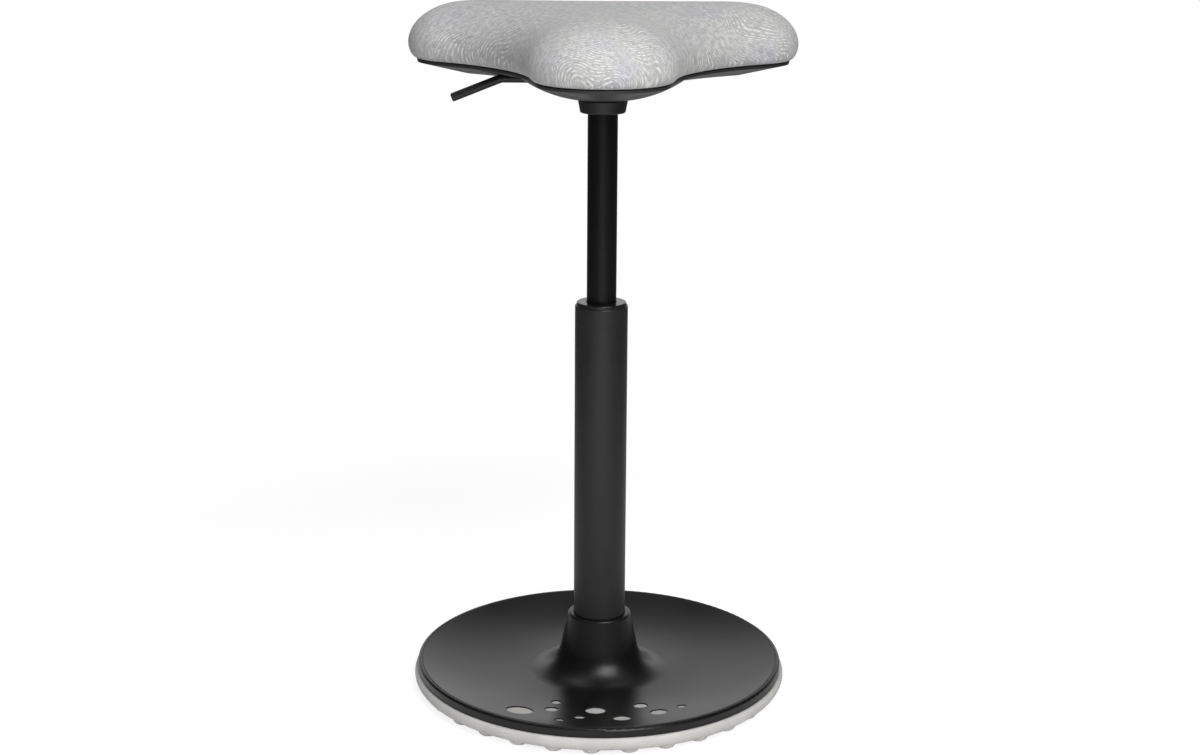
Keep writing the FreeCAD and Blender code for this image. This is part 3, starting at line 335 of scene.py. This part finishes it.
TUCK, BULGE, BULGE_HEIGHT = 0.001, 0.008, 0.015
ROLL, ROLL_HEIGHT = 0.057, 0.0385
CROWN, CROWN_RUN = 0.002, 0.05
HEM_HEIGHT, HEM_ROUND = 0.0004, 0.0010
HEM_INSETS = (0.030, 0.012, 0.0022)
BULGE_STEPS, ROLL_STEPS = 6, 16
TIP_POINTS, BAY_POINTS = 44, 40
GRID_PITCH, GRID_REACH = 0.006, 0.19
PUFF_FRAMES, PUFF_CAP, PIN_HEIGHT = 20, 0.0035, 0.0035
FLAT_INSET, FLAT_FADE = 0.075, 0.03


def cushion_profile():
    """Return inset and height from the seam up to the start of the top."""
    rows = [(inset, HEM_HEIGHT) for inset in HEM_INSETS]
    rows.append((TUCK + HEM_HEIGHT / 2, HEM_ROUND))
    for step in range(1, BULGE_STEPS + 1):
        angle = math.radians(90 * step / BULGE_STEPS)
        rows.append((TUCK - (TUCK + BULGE) * math.sin(angle),
                     BULGE_HEIGHT * (1 - math.cos(angle)) + HEM_ROUND))
    for step in range(1, ROLL_STEPS + 1):
        angle = math.radians(90 * step / ROLL_STEPS)
        rows.append((ROLL - BULGE - ROLL * math.cos(angle), BULGE_HEIGHT + ROLL_HEIGHT * math.sin(angle)))
    return rows


def build_cushion():
    """Build rings up the cushion's side, a gridded top that crowns a little, and a flat underside."""
    samples = outline_samples(TIP_POINTS, BAY_POINTS)
    rows = cushion_profile()
    count = len(samples)
    vertices, faces = [], []
    for inset, height in rows:
        for point in outline_ring(samples, inset):
            vertices.append((point.x, point.y, SEAM + height))
    for row in range(len(rows) - 1):
        for column in range(count):
            here, there = row * count + column, row * count + (column + 1) % count
            faces.append((here, there, there + count, here + count))
    ring = outline_ring(samples, rows[-1][0])
    top_height = rows[-1][1]
    steps = int(GRID_REACH / GRID_PITCH)
    grid = [Vector((x * GRID_PITCH, y * GRID_PITCH)) for x in range(-steps, steps + 1)
            for y in range(-steps, steps + 1)]
    depth, _ = outline_depth(np.array([list(point) for point in grid]))
    inner = [point for point, inset in zip(grid, depth) if inset > rows[-1][0] + GRID_PITCH / 2]
    edges = [(i, (i + 1) % count) for i in range(count)]
    flat, _, triangles, origins, _, _ = delaunay_2d_cdt(ring + inner, edges, [], 1, 1e-7)
    lookup = {}
    first = (len(rows) - 1) * count
    depth, _ = outline_depth(np.array([list(point) for point in flat]))
    for index, point in enumerate(flat):
        source = [i for i in origins[index] if i < count]
        if source:
            lookup[index] = first + source[0]
            continue
        rise = min(1.0, max(0.0, (depth[index] - rows[-1][0]) / CROWN_RUN))
        vertices.append((point.x, point.y, SEAM + top_height + CROWN * (1 - (1 - rise) ** 2)))
        lookup[index] = len(vertices) - 1
    faces += [tuple(lookup[i] for i in triangle) for triangle in triangles]
    low = outline_ring(samples, rows[0][0])
    _, _, triangles, origins, _, _ = delaunay_2d_cdt(low, edges, [], 1, 1e-7)
    faces += [tuple(reversed([origins[i][0] for i in triangle])) for triangle in triangles]
    mesh = bpy.data.meshes.new("seat_cushion")
    mesh.from_pydata(vertices, [], faces)
    mesh.validate()
    body = bmesh.new()
    body.from_mesh(mesh)
    bmesh.ops.recalc_face_normals(body, faces=body.faces)
    body.to_mesh(mesh)
    body.free()
    piece = bpy.data.objects.new("seat_cushion", mesh)
    scene.collection.objects.link(piece)
    return piece


def coordinates(piece):
    flat = np.zeros(len(piece.data.vertices) * 3, np.float32)
    piece.data.vertices.foreach_get("co", flat)
    return flat.reshape(-1, 3).astype(float)


def set_coordinates(piece, points):
    piece.data.vertices.foreach_set("co", points.astype(np.float32).ravel())
    piece.data.update()


def applied(piece):
    """Replace a piece's mesh by what its modifiers make of it."""
    depsgraph = bpy.context.evaluated_depsgraph_get()
    mesh = bpy.data.meshes.new_from_object(piece.evaluated_get(depsgraph))
    piece.modifiers.clear()
    piece.data = mesh


def puff(piece):
    """Inflate the cushion a little with Cloth, pinned at the seam, with each point's move capped."""
    start = coordinates(piece)
    pinned = piece.vertex_groups.new(name="seam")
    held = [i for i, point in enumerate(start) if point[2] < SEAM + PIN_HEIGHT]
    pinned.add(held, 1.0, "REPLACE")
    cloth = piece.modifiers.new("Cloth", "CLOTH")
    settings = cloth.settings
    settings.quality = 5
    settings.mass = 0.3
    settings.tension_stiffness = 25
    settings.compression_stiffness = 25
    settings.bending_stiffness = 1.5
    settings.use_pressure = True
    settings.uniform_pressure_force = 3.0
    settings.vertex_group_mass = "seam"
    settings.effector_weights.gravity = 0
    cloth.collision_settings.use_collision = False
    for number in range(1, PUFF_FRAMES + 1):
        scene.frame_set(number)
    depsgraph = bpy.context.evaluated_depsgraph_get()
    shaped = piece.evaluated_get(depsgraph).to_mesh()
    flat = np.zeros(len(shaped.vertices) * 3, np.float32)
    shaped.vertices.foreach_get("co", flat)
    moved = flat.reshape(-1, 3).astype(float) - start
    far = np.linalg.norm(moved, axis=1)
    limit = PUFF_CAP * np.tanh(far / PUFF_CAP) / np.maximum(far, 1e-9)
    piece.modifiers.clear()
    piece.vertex_groups.clear()
    scene.frame_set(1)
    set_coordinates(piece, start + moved * limit[:, None])


def lay_cloth(piece):
    """Store where each point lies on the flat cloth, so that threads run over the edge unbroken."""
    points = coordinates(piece)
    depth, outward = outline_depth(points[:, :2])
    top = points[:, 2].max()
    fade = np.clip((FLAT_INSET - depth) / FLAT_FADE, 0.0, 1.0)
    drop = (top - points[:, 2]) * fade
    cloth = np.zeros((len(points), 3))
    cloth[:, :2] = points[:, :2] + outward * drop[:, None]
    layer = piece.data.attributes.new("cloth", "FLOAT_VECTOR", "POINT")
    layer.data.foreach_set("vector", cloth.astype(np.float32).ravel())


cushion = build_cushion()
puff(cushion)
subdivision = cushion.modifiers.new("Smooth", "SUBSURF")
subdivision.levels = subdivision.render_levels = 1
applied(cushion)
lay_cloth(cushion)
cushion.data.materials.clear()
cushion.data.materials.append(finishes["seat_fabric"])
cushion.data.polygons.foreach_set("use_smooth", [True] * len(cushion.data.polygons))
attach(cushion, "seat")
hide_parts("seat_cover", "seat_foam")


# Floor, surround and lamps

FLOOR_HALF = 6.0
FLOOR_NEAR, FLOOR_FAR = 0.35, 1.3
NEAR_GLOW, NEAR_GREY = 0.80, 0.34
BACKDROP_LEVEL, OVERHEAD_LEVEL, FRONT_LEVEL, ROOM_LEVEL = 0.98, 0.45, 0.1, 0.045

floor_mesh = bpy.data.meshes.new("floor")
corners = [(-1, -1), (1, -1), (1, 1), (-1, 1)]
floor_mesh.from_pydata([(x * FLOOR_HALF, y * FLOOR_HALF, 0) for x, y in corners], [], [(0, 1, 2, 3)])
floor = bpy.data.objects.new("floor", floor_mesh)
scene.collection.objects.link(floor)

floor_material = bpy.data.materials.new("floor_paper")
graph = Graph(floor_material)
place = graph.add("TexCoord").outputs["Object"]
split = graph.add("SeparateXYZ", {0: place})
across = graph.math("ABSOLUTE", split.outputs["X"])
paper = graph.ramp(across, 0.45, 0.95, 1.0, 0.28)
light_path = graph.add("LightPath")
soft_light = graph.add("BsdfDiffuse", {"Color": graph.mix(paper, grey(0.0), grey(0.82))})
reach = graph.add("VectorMath", {0: place}, operation="LENGTH").outputs["Value"]
far = graph.ramp(reach, FLOOR_NEAR, FLOOR_FAR)
lit = graph.add("BsdfDiffuse", {"Color": graph.mix(far, grey(NEAR_GREY), grey(0.0))})
glow = graph.add("Emission", {"Color": grey(1.0), "Strength": graph.ramp(far, 0.0, 1.0, NEAR_GLOW, 1.0)})
seen = graph.add("AddShader", {0: lit.outputs[0], 1: glow.outputs[0]})
direct = graph.math("MAXIMUM", light_path.outputs["Is Camera Ray"], light_path.outputs["Is Transmission Ray"])
surface = graph.add("MixShader", {0: direct, 1: soft_light.outputs[0], 2: seen.outputs[0]})
graph.finish(surface.outputs[0])
floor.data.materials.append(floor_material)

world = bpy.data.worlds.new("studio")
scene.world = world
graph = Graph(world)
place = graph.add("TexCoord").outputs["Generated"]
split = graph.add("SeparateXYZ", {0: place})
north, up = split.outputs["Y"], split.outputs["Z"]
backdrop = graph.math("MULTIPLY", graph.ramp(north, 0.70, 0.90), graph.ramp(up, 0.62, 0.42))
overhead = graph.ramp(up, 0.72, 0.92, 0.0, OVERHEAD_LEVEL)
front = graph.math("MULTIPLY", graph.ramp(north, -0.2, -0.8), FRONT_LEVEL)
level = graph.math("MULTIPLY", backdrop, BACKDROP_LEVEL)
for other in (overhead, front, ROOM_LEVEL):
    level = graph.math("MAXIMUM", level, other)
light_path = graph.add("LightPath")
direct = graph.math("MAXIMUM", light_path.outputs["Is Camera Ray"], light_path.outputs["Is Transmission Ray"])
room = graph.add("Background", {"Color": grey(1.0), "Strength": level})
white = graph.add("Background", {"Color": grey(1.0), "Strength": 1.0})
surround = graph.add("MixShader", {0: direct, 1: room.outputs[0], 2: white.outputs[0]})
graph.tree.links.new(surround.outputs[0], graph.add("OutputWorld").inputs["Surface"])


def softbox(name, place, target, size, watts, colour, glossy=True):
    """Add a rectangular lamp that faces a target; glossy says whether it shows in reflections."""
    data = bpy.data.lights.new(name, "AREA")
    data.shape = "RECTANGLE"
    data.size, data.size_y = size
    data.energy = watts
    data.color = colour
    lamp = bpy.data.objects.new(name, data)
    scene.collection.objects.link(lamp)
    lamp.location = place
    lamp.rotation_euler = (Vector(target) - Vector(place)).to_track_quat("-Z", "Y").to_euler()
    lamp.visible_camera = False
    lamp.visible_glossy = glossy


softbox("lamp_key", (0.9, -1.9, 2.3), (0, -0.05, 0.5), (1.7, 1.7), 50, (1.0, 0.99, 0.97))
softbox("lamp_top", (-0.2, 0.6, 2.7), (0, 0, 0.5), (1.8, 1.2), 7, (0.96, 0.98, 1.0))
softbox("lamp_front", (0.4, -2.7, 1.0), (0, 0, 0.4), (1.6, 1.2), 36, (1.0, 1.0, 0.99), glossy=False)
softbox("lamp_left", (-2.2, -1.2, 1.3), (0, 0, 0.5), (1.0, 1.4), 9, (0.97, 0.98, 1.0), glossy=False)
